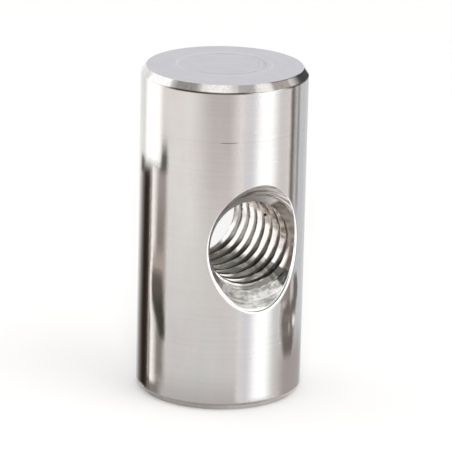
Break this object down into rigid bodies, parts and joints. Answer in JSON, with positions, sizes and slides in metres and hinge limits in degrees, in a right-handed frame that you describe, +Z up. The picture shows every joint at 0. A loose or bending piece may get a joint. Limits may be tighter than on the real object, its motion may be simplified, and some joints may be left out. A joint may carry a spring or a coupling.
{
  "type": "barrel nut",
  "caption": "Short turned metal barrel with chamfered ends and a countersunk threaded hole straight across its middle.",
  "frame": {"origin": "centre of the barrel's lower end face", "axes": "+Z up the barrel's axis; the threaded hole runs along Y"},
  "size_m": [0.01, 0.01, 0.02],
  "materials": {
    "turned_steel": "bright turned stainless steel with fine lathe marks round the barrel and rings on the faced ends"
  },
  "bodies": {
    "root": {"barrel_nut": "turned_steel"}
  },
  "joints": []
}
